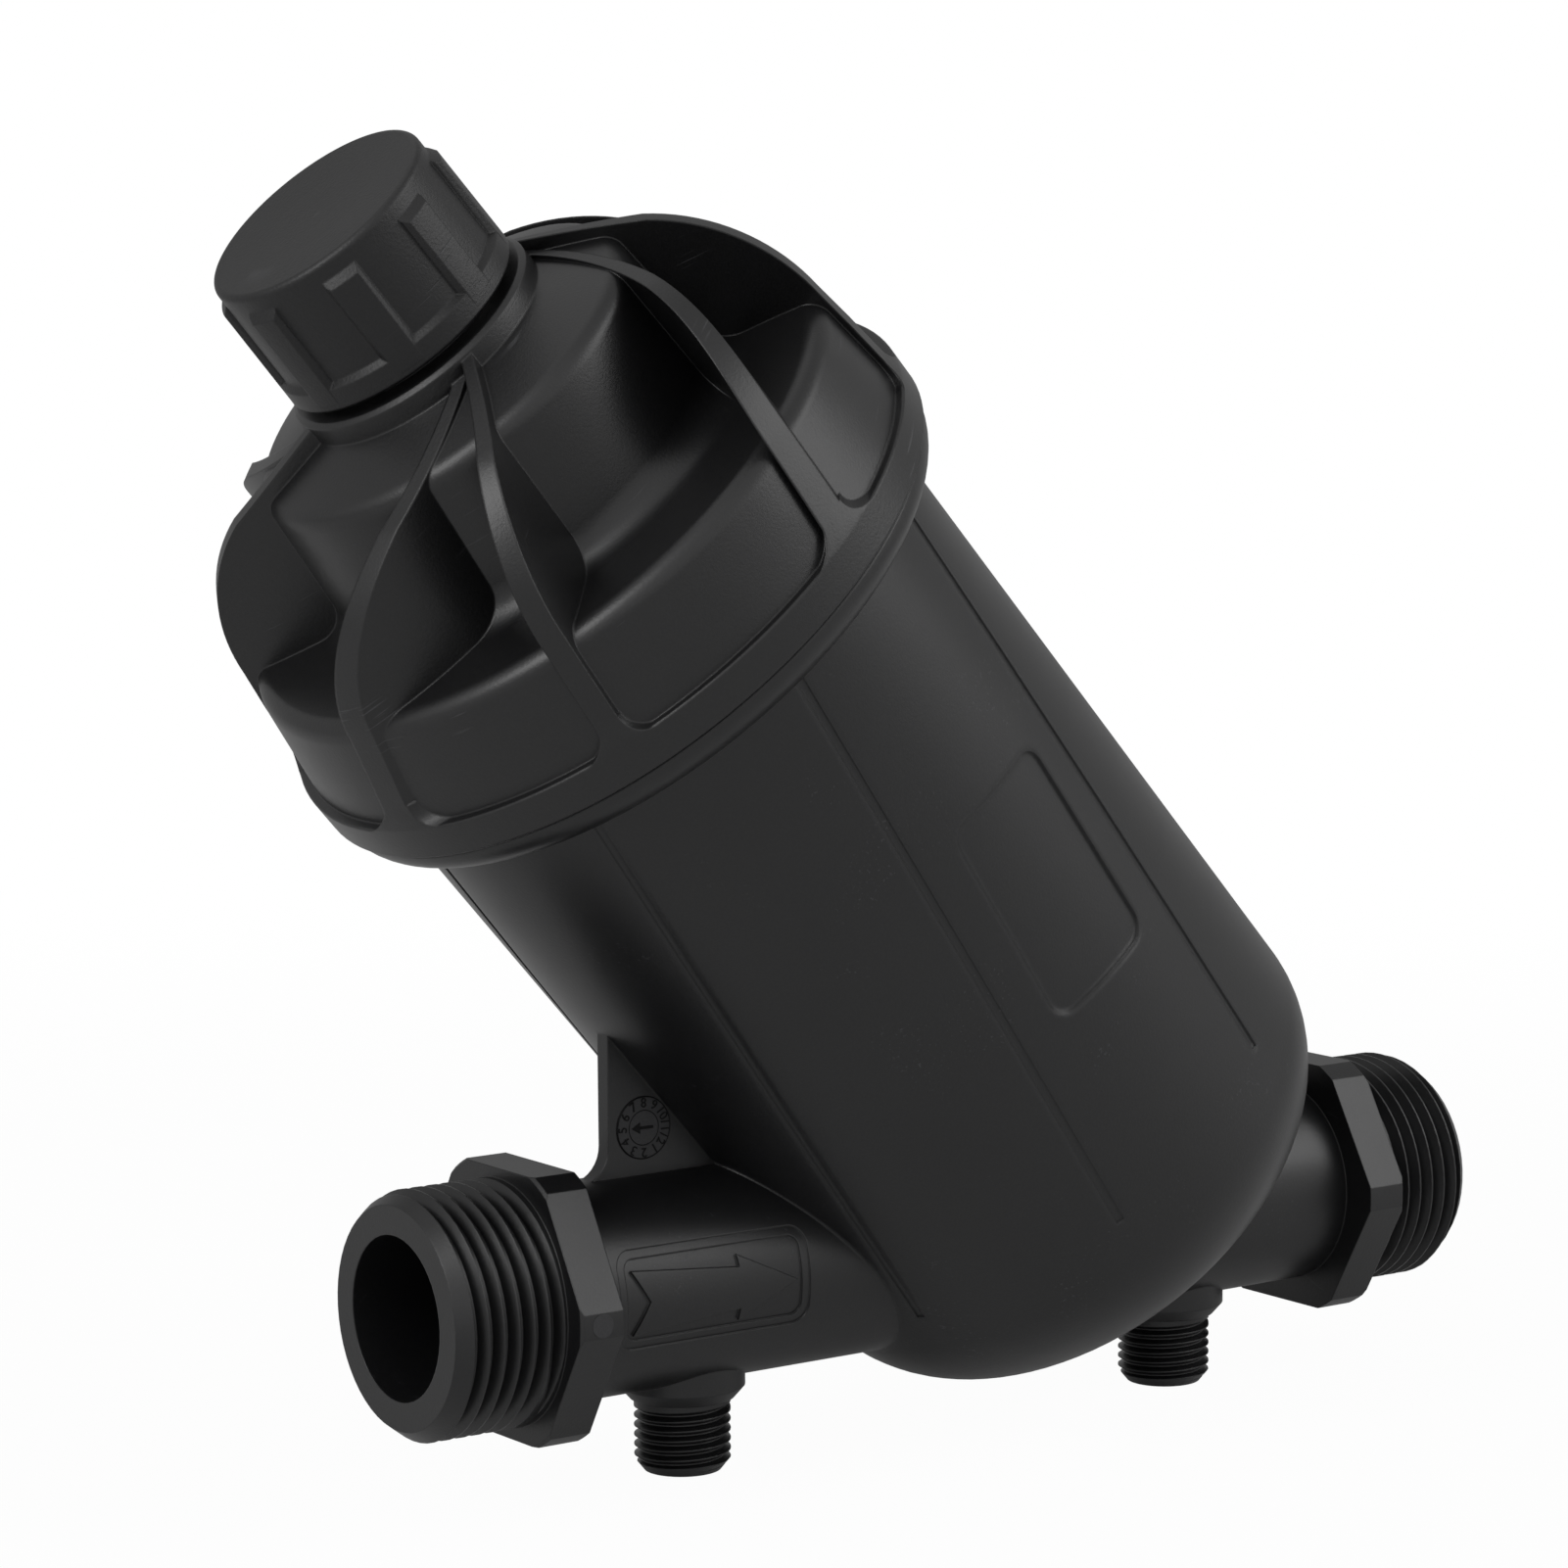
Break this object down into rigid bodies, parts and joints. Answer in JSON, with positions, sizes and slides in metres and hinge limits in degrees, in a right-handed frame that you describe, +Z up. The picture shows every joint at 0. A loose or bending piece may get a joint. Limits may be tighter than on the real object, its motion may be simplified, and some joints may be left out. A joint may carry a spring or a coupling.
{
  "type": "irrigation disc filter",
  "caption": "Inline Y-shaped irrigation disc filter with threaded pipe ends, gauge ports, a slanted vessel, finned screw cover and flush cap over a stacked ring cartridge.",
  "frame": {"origin": "on the pipe axis where the inlet thread meets the hexagon, the stop for a screwed-on socket", "axes": "+X along the flow from inlet to outlet, +Z up, gauge ports point down"},
  "size_m": [0.1947, 0.0964, 0.1802],
  "materials": {
    "housing_plastic": "moulded, fine grain",
    "cover_plastic": "moulded, fine grain",
    "cap_plastic": "moulded, fine grain",
    "seal_rubber": "soft black",
    "core_plastic": "moulded",
    "ring_plastic": "moulded, grooved faces"
  },
  "bodies": {
    "housing": {"housing": "housing_plastic", "spine": "core_plastic", "spine_seal": "seal_rubber", "clamp_plate": "core_plastic", "lock_nut": "core_plastic", "ring_01": "ring_plastic", "ring_02": "ring_plastic", "ring_03": "ring_plastic", "ring_04": "ring_plastic", "ring_05": "ring_plastic", "ring_06": "ring_plastic", "ring_07": "ring_plastic", "ring_08": "ring_plastic", "ring_09": "ring_plastic", "ring_10": "ring_plastic", "ring_11": "ring_plastic", "ring_12": "ring_plastic", "ring_13": "ring_plastic", "ring_14": "ring_plastic", "ring_15": "ring_plastic", "ring_16": "ring_plastic", "ring_17": "ring_plastic", "ring_18": "ring_plastic", "ring_19": "ring_plastic", "ring_20": "ring_plastic", "ring_21": "ring_plastic", "ring_22": "ring_plastic", "ring_23": "ring_plastic", "ring_24": "ring_plastic", "ring_25": "ring_plastic", "ring_26": "ring_plastic", "ring_27": "ring_plastic", "ring_28": "ring_plastic", "ring_29": "ring_plastic", "ring_30": "ring_plastic"},
    "cover_seal": {"cover_seal": "seal_rubber"},
    "cover": {"cover": "cover_plastic"},
    "cap_gasket": {"cap_gasket": "seal_rubber"},
    "flush_cap": {"flush_cap": "cap_plastic"}
  },
  "joints": [
    {"name": "cover_lift", "type": "slide", "parent": "housing", "child": "cover_seal", "axis": [-0.6639, 0, 0.7478], "range_m": [0, 0.00765]},
    {"name": "cover_turn", "type": "hinge", "parent": "cover_seal", "child": "cover", "pos_m": [0.01569, 0, 0.09721], "axis": [-0.6639, 0, 0.7478], "range_deg": [0, 900]},
    {"name": "cap_lift", "type": "slide", "parent": "cover", "child": "cap_gasket", "axis": [-0.6639, 0, 0.7478], "range_m": [0, 0.0041]},
    {"name": "cap_turn", "type": "hinge", "parent": "cap_gasket", "child": "flush_cap", "pos_m": [-0.01751, 0, 0.1346], "axis": [-0.6639, 0, 0.7478], "range_deg": [0, 720]}
  ],
  "couplings": [
    {"joint": "cover_lift", "follows": "cover_turn", "m_per_rad": 0.00047746},
    {"joint": "cap_lift", "follows": "cap_turn", "m_per_rad": 0.00031831}
  ]
}
